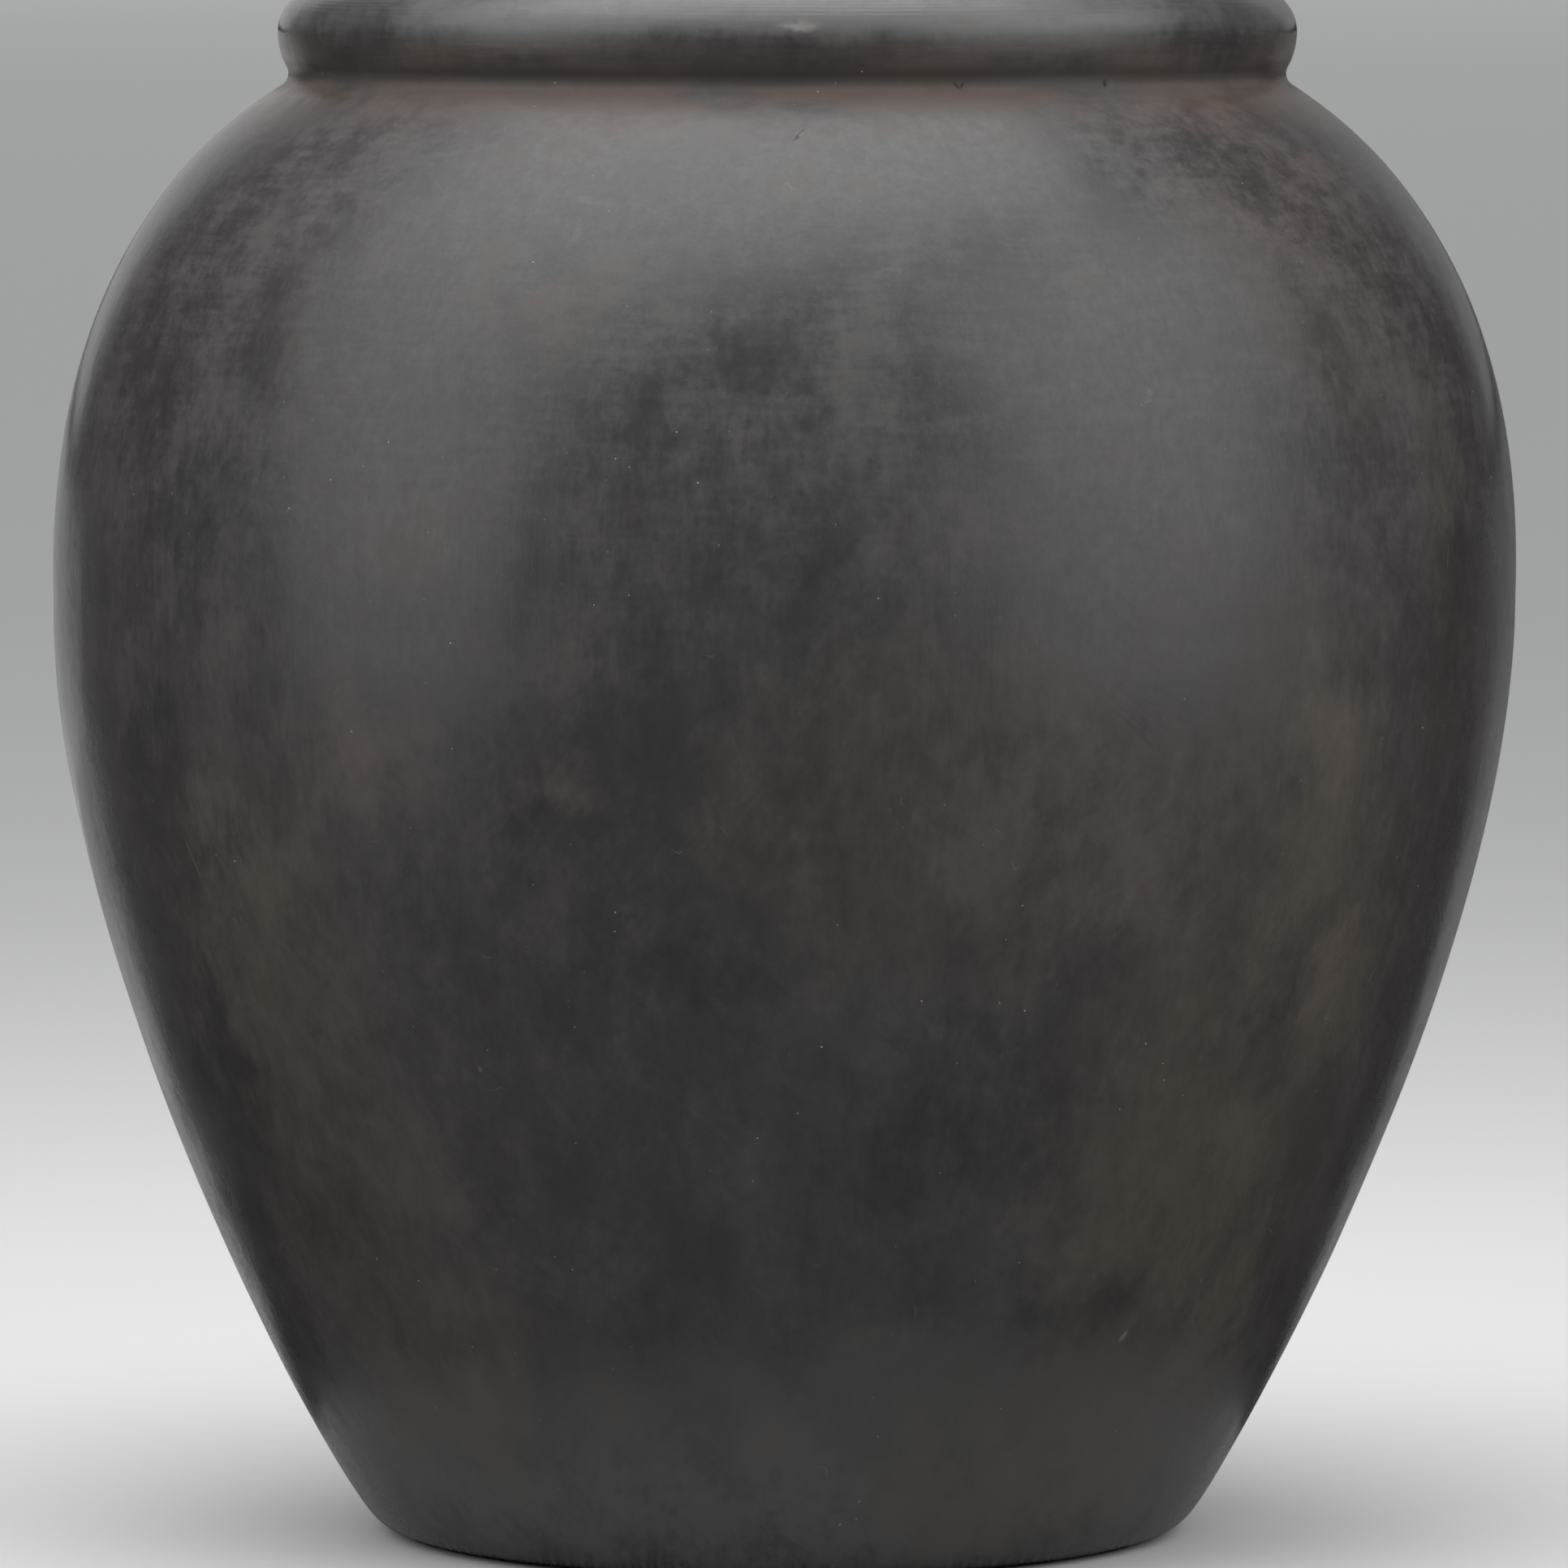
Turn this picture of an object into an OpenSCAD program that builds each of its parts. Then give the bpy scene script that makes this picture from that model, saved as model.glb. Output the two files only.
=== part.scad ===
// Barro negro olla: a wide black clay jar with a rounded foot, a full belly and a rolled lip.
// It is raised on a flat base from rings of clay, which are luted together on slanted seams.
// Millimetres, +Z up, origin at the centre of the underside.

/* [Body] */
// Outer diameter at the belly
belly_d = 300; // [285:1:320]
// Height of the belly above the ground
belly_z = 191; // [182:1:200]
// Thickness of the wall
wall_t = 9; // [7:0.5:9.5]
// Slope of the wall where it leaves the foot, in degrees from vertical
foot_slope = 38.6; // [36:0.2:44]
// Slope of the shoulder where it reaches the neck, in degrees from vertical
shoulder_slope = 57.5; // [52:0.5:62]
// Straight run of the wall above the foot, as a share of the height from foot to belly
foot_run = 0.088; // [0.05:0.002:0.2]
// Fullness of the wall below the belly, as a share of the height from foot to belly
full_below = 0.386; // [0.3:0.002:0.46]
// Fullness of the wall above the belly, as a share of the height from belly to neck
full_above = 0.116; // [0.1:0.002:0.25]
// Straight run of the shoulder below the neck, as a share of the height from belly to neck
shoulder_run = 0.56; // [0.5:0.01:0.65]

/* [Base] */
// Diameter of the flat underside
base_d = 151; // [140:1:160]
// Thickness of the base
base_t = 12; // [11:0.5:16]
// Radius of the rounded foot
foot_r = 12.4; // [9:0.2:13]
// Width over the floor of the coil that is pressed into the inside corner
coil_w = 14; // [8:1:20]
// Height up the wall of that coil
coil_h = 13; // [8:1:20]

/* [Neck and lip] */
// Outer diameter at the bottom of the groove under the lip
neck_d = 204.4; // [196:0.2:206]
// Height of the groove above the ground
neck_z = 300; // [290:1:315]
// Radius of the groove
groove_r = 2.7; // [2:0.1:3.5]
// Outer diameter of the lip
lip_d = 208.8; // [207:0.2:211]
// Radius of the roll over the top of the lip
lip_r = 9; // [8:0.5:10]
// Radius of the flatter side of the lip, between the roll and the groove
lip_side_r = 14.8; // [13:0.2:18]

/* [Seams] */
// Seam over the foot wall, as a share of the curve from foot to belly
foot_seam = 0.44; // [0.36:0.01:0.52]
// Seam over the lower wall, as a share of the curve from foot to belly
lower_seam = 0.72; // [0.64:0.01:0.82]
// Seam over the upper wall, as a share of the curve from belly to neck
upper_seam = 0.56; // [0.45:0.01:0.65]
// Seam over the shoulder wall, as a share of the curve from belly to neck
shoulder_seam = 0.82; // [0.75:0.01:0.88]
// Slant of the seams through the wall, as a share of the same curves
seam_slant = 0.05; // [0.01:0.01:0.08]

/* [Hidden] */

$fn = 144;
wall_steps = 10;
round_steps = 8;

base_clay = "#343231";
wall_clay = "#403f3f";
neck_clay = "#4a4442";
lip_clay = "#4b4b4d";

belly_r = belly_d / 2;
neck_r = neck_d / 2;

function bezier(p, t) =
    pow(1 - t, 3) * p[0] + 3 * t * pow(1 - t, 2) * p[1] + 3 * t * t * (1 - t) * p[2] + pow(t, 3) * p[3];
function bezier_heading(p, t) =
    pow(1 - t, 2) * (p[1] - p[0]) + 2 * t * (1 - t) * (p[2] - p[1]) + t * t * (p[3] - p[2]);
function left_of(v) = [-v[1], v[0]] / norm(v);
function round_point(centre, r, angle) = centre + r * [cos(angle), sin(angle)];
function round_stretch(centre, r, from, to) =
    [for (i = [0:round_steps]) round_point(centre, r, from + (to - from) * i / round_steps)];
function without_first(points) = [for (i = [1:len(points) - 1]) points[i]];
function without_last(points) = [for (i = [0:len(points) - 2]) points[i]];

// The foot: a round from the flat underside to the slope of the wall
foot_centre = [base_d / 2, foot_r];
foot_round = round_stretch(foot_centre, foot_r, -90, -foot_slope);
foot_end = round_point(foot_centre, foot_r, -foot_slope);

// The groove under the lip: the shoulder runs into it, and the lip rises from it
groove_centre = [neck_r + groove_r, neck_z];
shoulder_end = round_point(groove_centre, groove_r, 180 + shoulder_slope);

// The lip: its flatter side touches the groove's round, and the roll starts at the same height
lip_side_x = lip_d / 2 - lip_side_r;
groove_to_side = groove_centre[0] - lip_side_x;
lip_z = neck_z + sqrt(pow(lip_side_r + groove_r, 2) - pow(groove_to_side, 2));
side_angle = atan2(lip_z - neck_z, groove_to_side);
roll_centre = [lip_d / 2 - lip_r, lip_z];
roll_end_angle = 200;

// The outside of the wall, from the foot to the belly and from the belly to the neck
lower_h = belly_z - foot_end[1];
upper_h = shoulder_end[1] - belly_z;
belly_point = [belly_r, belly_z];
foot_heading = [sin(foot_slope), cos(foot_slope)];
shoulder_heading = [-sin(shoulder_slope), cos(shoulder_slope)];
lower_curve = [foot_end, foot_end + foot_run * lower_h * foot_heading,
               belly_point - [0, full_below * lower_h], belly_point];
upper_curve = [belly_point, belly_point + [0, full_above * upper_h],
               shoulder_end - shoulder_run * upper_h * shoulder_heading, shoulder_end];

// The throat: the inside from the shoulder up into the roll
throat_start = shoulder_end + wall_t * left_of(shoulder_heading);
throat_end = round_point(roll_centre, lip_r, roll_end_angle);
throat_pull = norm(throat_end - throat_start) / 3;
throat_curve = [throat_start, throat_start + throat_pull * shoulder_heading,
                throat_end + throat_pull * left_of(throat_end - roll_centre), throat_end];

// Points on the wall at u: 0 at the foot, 1 at the belly, 2 at the neck and 3 inside the lip
function outside(u) = u < 1 ? bezier(lower_curve, u) : bezier(upper_curve, u - 1);
function heading(u) = u < 1 ? bezier_heading(lower_curve, u) : bezier_heading(upper_curve, u - 1);
function inside(u) = u < 2 ? outside(u) + wall_t * left_of(heading(u)) : bezier(throat_curve, u - 2);
function outside_stretch(from, to) =
    [for (i = [0:wall_steps]) outside(from + (to - from) * i / wall_steps)];
function inside_stretch(from, to, steps = wall_steps) =
    [for (i = [0:steps]) inside(from + (to - from) * i / steps)];

// The u at which the inside of the lower wall is at height z, by halving
function inside_u(z, low = 0, high = 1, halvings = 40) =
    halvings == 0 ? (low + high) / 2
    : inside((low + high) / 2)[1] < z ? inside_u(z, (low + high) / 2, high, halvings - 1)
    : inside_u(z, low, (low + high) / 2, halvings - 1);

floor_u = inside_u(base_t);
coil_u = inside_u(base_t + coil_h);
floor_corner = [inside(floor_u)[0], base_t];
coil_wall_side = inside_stretch(floor_u, coil_u, round_steps);
belly_u = 1;
upper_u = belly_u + upper_seam;
shoulder_u = belly_u + shoulder_seam;
neck_u = 2;
throat_u = 2.5;
lip_u = 3;

// A ring of clay, from its outside points low to high and its inside points high to low
module ring(outside_points, inside_points) {
    rotate_extrude() polygon(concat(outside_points, inside_points));
}

// One course of the wall, between the slanted seams that start at two places on its outside
module wall_course(low_u, high_u) {
    color(wall_clay)
        ring(outside_stretch(low_u, high_u), inside_stretch(high_u + seam_slant, low_u + seam_slant));
}

// Flat disc of clay with the rounded foot on its edge and a slanted seat for the wall
module base_slab() {
    color(base_clay)
        rotate_extrude()
            polygon(concat([[0, 0]], foot_round, [floor_corner, [0, base_t]]));
}

// Coil pressed into the inside corner, hollowed by the thumb between the floor and the wall
module base_fillet_coil() {
    floor_edge = floor_corner - [coil_w, 0];
    wall_edge = inside(coil_u);
    thumb_depth = 0.62;
    hollow = (floor_edge + wall_edge) / 2 * (1 - thumb_depth) + floor_corner * thumb_depth;
    hollow_face = [for (i = [1:round_steps])
        let (t = i / round_steps)
        pow(1 - t, 2) * wall_edge + 2 * t * (1 - t) * hollow + t * t * floor_edge];
    color(base_clay)
        ring(concat([floor_corner], without_first(coil_wall_side)), hollow_face);
}

// First course of the wall: it stands on the slab's seat, with the corner coil against its inside
module foot_wall() {
    inside_up = concat([floor_corner], without_first(coil_wall_side),
                       without_first(inside_stretch(coil_u, foot_seam + seam_slant)));
    inside_down = [for (i = [len(inside_up) - 1:-1:0]) inside_up[i]];
    color(wall_clay)
        ring(outside_stretch(0, foot_seam), inside_down);
}

module lower_wall() { wall_course(foot_seam, lower_seam); }

module belly_wall() { wall_course(lower_seam, belly_u); }

module upper_wall() { wall_course(belly_u, upper_u); }

module shoulder_wall() { wall_course(upper_u, shoulder_u); }

// Collar that closes the shoulder in and ends at the bottom of the groove
module neck_ring() {
    groove_round = round_stretch(groove_centre, groove_r, 180 + shoulder_slope, 180);
    color(neck_clay)
        ring(concat(outside_stretch(shoulder_u, neck_u), without_first(groove_round)),
             inside_stretch(throat_u, shoulder_u + seam_slant));
}

// Coil luted on the neck and rolled over into the lip
module rim_coil() {
    groove_round = round_stretch(groove_centre, groove_r, 180, 180 - side_angle);
    side_round = round_stretch([lip_side_x, lip_z], lip_side_r, -side_angle, 0);
    roll_round = [for (part = [0:2])
        each without_last(round_stretch(roll_centre, lip_r, part * roll_end_angle / 3,
                                        (part + 1) * roll_end_angle / 3))];
    color(lip_clay)
        ring(concat(groove_round, without_first(side_round), without_first(roll_round)),
             inside_stretch(lip_u, throat_u, round_steps));
}

base_slab();
base_fillet_coil();
foot_wall();
lower_wall();
belly_wall();
upper_wall();
shoulder_wall();
neck_ring();
rim_coil();
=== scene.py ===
import math

import bpy
import numpy as np
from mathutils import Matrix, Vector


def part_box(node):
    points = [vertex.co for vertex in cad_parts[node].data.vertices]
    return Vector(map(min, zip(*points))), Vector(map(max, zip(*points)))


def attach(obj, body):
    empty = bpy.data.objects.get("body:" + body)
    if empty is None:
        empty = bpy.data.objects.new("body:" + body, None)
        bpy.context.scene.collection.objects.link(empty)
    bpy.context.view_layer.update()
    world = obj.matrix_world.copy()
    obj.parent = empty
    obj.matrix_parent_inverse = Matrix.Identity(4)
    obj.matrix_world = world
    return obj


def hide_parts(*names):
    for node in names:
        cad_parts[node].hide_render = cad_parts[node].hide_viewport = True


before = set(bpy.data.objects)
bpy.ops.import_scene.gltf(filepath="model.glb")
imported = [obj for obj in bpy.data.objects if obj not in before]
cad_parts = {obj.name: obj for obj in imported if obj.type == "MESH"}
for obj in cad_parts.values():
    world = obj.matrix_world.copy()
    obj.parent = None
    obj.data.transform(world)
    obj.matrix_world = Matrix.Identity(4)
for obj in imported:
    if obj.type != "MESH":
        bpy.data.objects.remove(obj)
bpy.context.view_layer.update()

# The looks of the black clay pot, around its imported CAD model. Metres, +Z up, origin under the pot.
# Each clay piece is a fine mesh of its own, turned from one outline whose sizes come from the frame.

MM = 0.001

# ---------------------------------------------------------------- sizes, from the frame

FOOT_R, FOOT_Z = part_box("base_slab")[1].x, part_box("foot_wall")[0].z
BASE_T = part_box("base_slab")[1].z
COIL_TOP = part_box("base_fillet_coil")[1].z
BELLY_R, BELLY_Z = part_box("belly_wall")[1].x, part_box("upper_wall")[0].z
NECK_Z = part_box("neck_ring")[1].z
LIP_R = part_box("rim_coil")[1].x
POT_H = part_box("rim_coil")[1].z

# Shape of the outline: slopes in degrees from vertical, and runs as shares of a height
FOOT_SLOPE = 38.6
SHOULDER_SLOPE = 57.5
FOOT_RUN, FULL_BELOW = 0.088, 0.386
FULL_ABOVE, SHOULDER_RUN = 0.116, 0.56
WALL_T = 9 * MM
NECK_R = 102.2 * MM
GROOVE_R = 2.7 * MM
ROLL_R = 9 * MM
LIP_SIDE_R = 14.8 * MM
COIL_W = 14 * MM
ROLL_END = 200

# Seams, at the same places on the outline as the CAD nodes' own
FOOT_SEAM, LOWER_SEAM, BELLY_SEAM, UPPER_SEAM, SHOULDER_SEAM = 0.44, 0.72, 1.0, 1.56, 1.82
SEAM_SLANT = 0.05
THROAT_SEAM = 2.5

# Mesh density
SEGMENTS = 480
OUTSIDE_STEP = 1.6 * MM
INSIDE_STEP = 4 * MM
FINE_STEP = 0.3 * MM


# ---------------------------------------------------------------- the outline

def bezier(p, t):
    t = np.asarray(t, float)[:, None]
    return (1 - t) ** 3 * p[0] + 3 * t * (1 - t) ** 2 * p[1] + 3 * t * t * (1 - t) * p[2] + t**3 * p[3]


def heading(p, t):
    t = np.asarray(t, float)[:, None]
    return (1 - t) ** 2 * (p[1] - p[0]) + 2 * t * (1 - t) * (p[2] - p[1]) + t * t * (p[3] - p[2])


def left_of(v):
    v = np.atleast_2d(v)
    return np.c_[-v[:, 1], v[:, 0]] / np.linalg.norm(v, axis=1)[:, None]


def slope_heading(degrees, outwards):
    a = math.radians(degrees)
    return np.array([math.sin(a) * outwards, math.cos(a)])


def arc(centre, r, start, end, step):
    n = max(2, round(abs(math.radians(end - start)) * r / step))
    a = np.radians(np.linspace(start, end, n + 1))
    return np.array(centre) + r * np.c_[np.cos(a), np.sin(a)]


foot_r = FOOT_Z / (1 - math.sin(math.radians(FOOT_SLOPE)))
foot_centre = np.array([FOOT_R - foot_r * math.cos(math.radians(FOOT_SLOPE)), foot_r])
foot_end = np.array([FOOT_R, FOOT_Z])
belly_point = np.array([BELLY_R, BELLY_Z])
groove_centre = np.array([NECK_R + GROOVE_R, NECK_Z])
shoulder_end = arc(groove_centre, GROOVE_R, 180 + SHOULDER_SLOPE, 180, GROOVE_R)[0]
side_centre = np.array([LIP_R - LIP_SIDE_R, POT_H - ROLL_R])
side_angle = math.degrees(math.atan2(side_centre[1] - NECK_Z, groove_centre[0] - side_centre[0]))
roll_centre = np.array([LIP_R - ROLL_R, POT_H - ROLL_R])

lower_h, upper_h = BELLY_Z - FOOT_Z, shoulder_end[1] - BELLY_Z
shoulder_heading = slope_heading(SHOULDER_SLOPE, -1)
lower_curve = [foot_end, foot_end + FOOT_RUN * lower_h * slope_heading(FOOT_SLOPE, 1),
               belly_point - [0, FULL_BELOW * lower_h], belly_point]
upper_curve = [belly_point, belly_point + [0, FULL_ABOVE * upper_h],
               shoulder_end - SHOULDER_RUN * upper_h * shoulder_heading, shoulder_end]
throat_start = shoulder_end + WALL_T * left_of(shoulder_heading)[0]
throat_end = arc(roll_centre, ROLL_R, 0, ROLL_END, ROLL_R)[-1]
throat_pull = np.linalg.norm(throat_end - throat_start) / 3
throat_curve = [throat_start, throat_start + throat_pull * shoulder_heading,
                throat_end + throat_pull * left_of(throat_end - roll_centre)[0], throat_end]


def outside(u):
    u = np.asarray(u, float)
    return np.where((u < 1)[:, None], bezier(lower_curve, u), bezier(upper_curve, u - 1))


def inside(u):
    u = np.asarray(u, float)
    towards = np.where((u < 1)[:, None], heading(lower_curve, u), heading(upper_curve, u - 1))
    wall = outside(np.minimum(u, 2)) + WALL_T * left_of(towards)
    return np.where((u < 2)[:, None], wall, bezier(throat_curve, u - 2))


def evenly(curve, start, end, step):
    """Points along curve(u) from u start to end, about one step apart."""
    u = np.linspace(start, end, 400)
    along = np.r_[0, np.cumsum(np.linalg.norm(np.diff(curve(u), axis=0), axis=1))]
    n = max(2, round(along[-1] / step))
    return curve(np.interp(np.linspace(0, along[-1], n + 1), along, u))


def inside_u(z):
    """The u at which the inside of the foot wall is at height z."""
    u = np.linspace(0, FOOT_SEAM, 4000)
    return float(np.interp(z, inside(u)[:, 1], u))


def straight(start, end, step):
    n = max(1, round(np.linalg.norm(np.subtract(end, start)) / step))
    return np.linspace(start, end, n + 1)


floor_u, coil_u = inside_u(BASE_T), inside_u(COIL_TOP)
floor_corner = np.array([inside([floor_u])[0][0], BASE_T])
floor_edge = floor_corner - [COIL_W, 0]
wall_edge = inside([coil_u])[0]
THUMB_DEPTH = 0.62
hollow = (floor_edge + wall_edge) / 2 * (1 - THUMB_DEPTH) + floor_corner * THUMB_DEPTH


def coil_face(t):
    t = np.asarray(t, float)[:, None]
    return (1 - t) ** 2 * wall_edge + 2 * t * (1 - t) * hollow + t * t * floor_edge


# The skin: every visible stretch in order, up the outside, over the lip and down to the floor
seam_us = [0, FOOT_SEAM, LOWER_SEAM, BELLY_SEAM, UPPER_SEAM, SHOULDER_SEAM]
stretches = {"underside": straight([0, 0], [foot_centre[0], 0], INSIDE_STEP),
             "foot_round": arc(foot_centre, foot_r, -90, -FOOT_SLOPE, OUTSIDE_STEP / 2)}
for course, low, high in zip(["foot", "lower", "belly", "upper", "shoulder", "neck"],
                             seam_us, seam_us[1:] + [2]):
    stretches[course + "_outside"] = evenly(outside, low, high, OUTSIDE_STEP)
stretches["groove_low"] = arc(groove_centre, GROOVE_R, 180 + SHOULDER_SLOPE, 180, FINE_STEP)
stretches["groove_high"] = arc(groove_centre, GROOVE_R, 180, 180 - side_angle, FINE_STEP)
stretches["lip_side"] = arc(side_centre, LIP_SIDE_R, -side_angle, 0, 2 * FINE_STEP)
stretches["roll"] = arc(roll_centre, ROLL_R, 0, ROLL_END, FINE_STEP)
stretches["lip_inside"] = evenly(inside, 3, THROAT_SEAM, 2 * FINE_STEP)
for course, low, high in zip(["neck", "shoulder", "upper", "belly", "lower"],
                             seam_us[:0:-1], [THROAT_SEAM - SEAM_SLANT] + seam_us[:1:-1]):
    stretches[course + "_inside"] = evenly(inside, high + SEAM_SLANT, low + SEAM_SLANT, INSIDE_STEP)
stretches["foot_inside"] = evenly(inside, FOOT_SEAM + SEAM_SLANT, coil_u, INSIDE_STEP)
stretches["coil_face"] = evenly(coil_face, 0, 1, INSIDE_STEP / 2)
stretches["floor"] = straight(floor_edge, [0, BASE_T], INSIDE_STEP)

skin, rows_of = [], {}
for name, points in stretches.items():
    first = max(len(skin) - 1, 0)
    skin += list(points if not skin else points[1:])
    rows_of[name] = range(first, len(skin))
skin = np.array(skin)

# Hidden rows, inside the joint between the coil, the floor and the foot wall
wall_side = inside(np.linspace(floor_u, coil_u, 6))[1:-1]
hidden = np.vstack([[floor_corner], wall_side])
corner_row = len(skin)
wall_side_rows = list(range(corner_row + 1, corner_row + len(hidden)))


# ---------------------------------------------------------------- handmade unevenness

def soft_noise(points, size, seed, waves=28):
    """A smooth random field with bumps about size across, mostly between -1 and 1."""
    rng = np.random.default_rng(seed)
    direction = rng.normal(size=(waves, 3))
    direction /= np.linalg.norm(direction, axis=1)[:, None]
    pitch = size * rng.uniform(0.8, 1.6, waves)
    phase = rng.uniform(0, 2 * math.pi, waves)
    total = np.zeros(len(points))
    for d, w, p in zip(direction, pitch, phase):
        total += np.cos(points @ d * (2 * math.pi / w) + p)
    return total / math.sqrt(waves / 2)


def smooth(x, low, high):
    t = np.clip((x - low) / (high - low), 0, 1)
    return t * t * (3 - 2 * t)


# How far the pot leans to the right: at once above the foot, and in all
LEAN_START, LEAN = -0.3 * MM, 1.55 * MM
LEAN_START_TOP = 20 * MM

# Depth and size of the unevenness of the outside, and of the finger ridges and roughness inside
BULGE, BULGE_SIZE = 0.10 * MM, 120 * MM
DENT, DENT_SIZE = 0.05 * MM, 40 * MM
STROKE, STROKE_SIZE, STROKE_STRETCH = 0.012 * MM, 9 * MM, 6
RIDGE, RIDGE_PITCH, RIDGE_WANDER_SIZE = 0.25 * MM, 11 * MM, 90 * MM
RIDGE_WANDER = 2.5
ROUGH, ROUGH_SIZE = 0.35 * MM, 50 * MM
EVEN_BELOW = 4 * MM


def grid_of(rows):
    """Points of the rows (radius, height) at every segment, as rows x SEGMENTS x 3, before unevenness."""
    angle = np.linspace(0, 2 * math.pi, SEGMENTS, endpoint=False)
    r, z = rows[:, :1], rows[:, 1:]
    return np.stack([r * np.sin(angle), -r * np.cos(angle), np.repeat(z, SEGMENTS, 1)], 2)


def normals_of(grid):
    """Smooth outward normals of a grid of rows around the axis."""
    step = np.diff(grid, axis=0)
    length = np.linalg.norm(step, axis=2, keepdims=True)
    before, after = np.maximum(length[:-1], 1e-9), np.maximum(length[1:], 1e-9)
    along = np.concatenate([step[:1], step[:-1] / before * after + step[1:] / after * before, step[-1:]])
    around = np.roll(grid, -1, 1) - np.roll(grid, 1, 1)
    n = np.cross(around, along)
    length = np.linalg.norm(n, axis=2, keepdims=True)
    up = np.zeros_like(n)
    up[..., 2] = 1
    flat = length[..., 0] < 1e-12
    n = np.where(flat[..., None], up, n / np.maximum(length, 1e-12))
    n[0] = [0, 0, -1]
    return n


def uneven(grid):
    """Depth by which the potter's hand moves each point along its normal."""
    points = grid.reshape(-1, 3)
    n_rows = len(grid)

    def field(size, seed, stretch=1):
        return soft_noise(points / [1, 1, stretch], size, seed).reshape(n_rows, -1)

    return (BULGE * field(BULGE_SIZE, 1) + DENT * field(DENT_SIZE, 2)
            + STROKE * field(STROKE_SIZE, 3, stretch=STROKE_STRETCH))


base_grid = grid_of(skin)
base_normal = normals_of(base_grid)
is_inner = np.zeros(len(skin), bool)
is_inner[rows_of["lip_inside"][0]:] = True
depth = uneven(base_grid)
inner_points = base_grid.reshape(-1, 3)
ridge_wander = RIDGE_WANDER * soft_noise(inner_points, RIDGE_WANDER_SIZE, 4).reshape(len(skin), -1)
ridges = RIDGE * np.sin(base_grid[..., 2] * (2 * math.pi / RIDGE_PITCH) + ridge_wander)
rough_inside = ROUGH * soft_noise(inner_points, ROUGH_SIZE, 5).reshape(len(skin), -1)
inner_share = smooth(np.arange(len(skin)), rows_of["lip_inside"][-1], rows_of["neck_inside"][-1])
depth += inner_share[:, None] * (ridges + rough_inside)
on_ground = smooth(base_grid[..., 2], 0, EVEN_BELOW)
depth *= np.where(is_inner[:, None], 1, on_ground)

# Turning lines round the top of the lip, cut by the wet leather that smoothed it
LINE_DEPTH, LINE_PITCH, LINE_WANDER_SIZE = 0.035 * MM, 0.95 * MM, 80 * MM
roll_rows = rows_of["roll"]
roll_angle = np.linspace(0, ROLL_END, len(roll_rows))
line_share = smooth(roll_angle, 24, 34) * (1 - smooth(roll_angle, 150, 175))
line_phase = 2 * math.pi * np.radians(roll_angle) * ROLL_R / LINE_PITCH
roll_points = base_grid[list(roll_rows)].reshape(-1, 3)
wander = soft_noise(roll_points, LINE_WANDER_SIZE, 6).reshape(len(roll_rows), -1)
line_depth = LINE_DEPTH * np.sin(line_phase[:, None] + 0.9 * wander) * line_share[:, None]
depth[list(roll_rows)] += line_depth * (0.7 + 0.3 * wander)


def leaned(grid):
    out = grid.copy()
    height = grid[..., 2]
    out[..., 0] += LEAN_START * smooth(height, 0, LEAN_START_TOP) + LEAN * smooth(height, 0, POT_H)
    return out


final_grid = leaned(base_grid + base_normal * depth[..., None])
final_normal = normals_of(final_grid)
final_grid = np.concatenate([final_grid, leaned(grid_of(hidden))])


# ---------------------------------------------------------------- pieces

def make_piece(name, rows, materials, closed=True):
    """A closed mesh through whole rows of the skin, in order. closed joins the last row to the first."""
    rows = list(rows)
    on_axis = [r for r in rows if r < len(skin) and skin[r][0] < 1e-9]
    index, points = {}, []
    for r in rows:
        if r in on_axis:
            index[r] = np.full(SEGMENTS, len(points))
            points.append(final_grid[r, 0])
        else:
            index[r] = np.arange(SEGMENTS) + len(points)
            points += list(final_grid[r])
    faces, smooth_rows, inner = [], [], []
    for a, b in zip(rows, rows[1:] + (rows[:1] if closed else [])):
        ia, ib = index[a], index[b]
        ja, jb = np.roll(ia, -1), np.roll(ib, -1)
        is_skin = a < len(skin) and b == a + 1 and b < len(skin)
        for k in range(SEGMENTS):
            quad = (ia[k], ja[k], jb[k], ib[k])
            if ia[0] == ia[1]:
                quad = (ia[k], jb[k], ib[k])
            if ib[0] == ib[1]:
                quad = (ia[k], ja[k], ib[k])
            faces.append(tuple(int(i) for i in quad))
        smooth_rows += [is_skin] * SEGMENTS
        inner += [bool(is_skin and is_inner[a])] * SEGMENTS
    mesh = bpy.data.meshes.new(name)
    mesh.from_pydata([tuple(p) for p in points], [], faces)
    piece = bpy.data.objects.new(name, mesh)
    bpy.context.scene.collection.objects.link(piece)
    for m in materials:
        mesh.materials.append(m)
    mesh.polygons.foreach_set("material_index", np.array(inner, dtype=np.int32))
    mesh.polygons.foreach_set("use_smooth", [True] * len(faces))
    mesh.update()
    vertex_normal = np.zeros((len(points), 3))
    for r in rows:
        if r < len(skin):
            vertex_normal[index[r]] = final_normal[r]
    corner_vertex = np.zeros(len(mesh.loops), np.int32)
    mesh.loops.foreach_get("vertex_index", corner_vertex)
    face_normal = np.zeros(len(faces) * 3)
    mesh.polygons.foreach_get("normal", face_normal)
    sizes = np.zeros(len(faces), np.int32)
    mesh.polygons.foreach_get("loop_total", sizes)
    flat = np.repeat(face_normal.reshape(-1, 3), sizes, 0)
    use_skin = np.repeat(np.array(smooth_rows), sizes)
    corner_normal = np.where(use_skin[:, None], vertex_normal[corner_vertex], flat)
    mesh.normals_split_custom_set(corner_normal.tolist())
    return piece


# ---------------------------------------------------------------- clay

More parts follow.
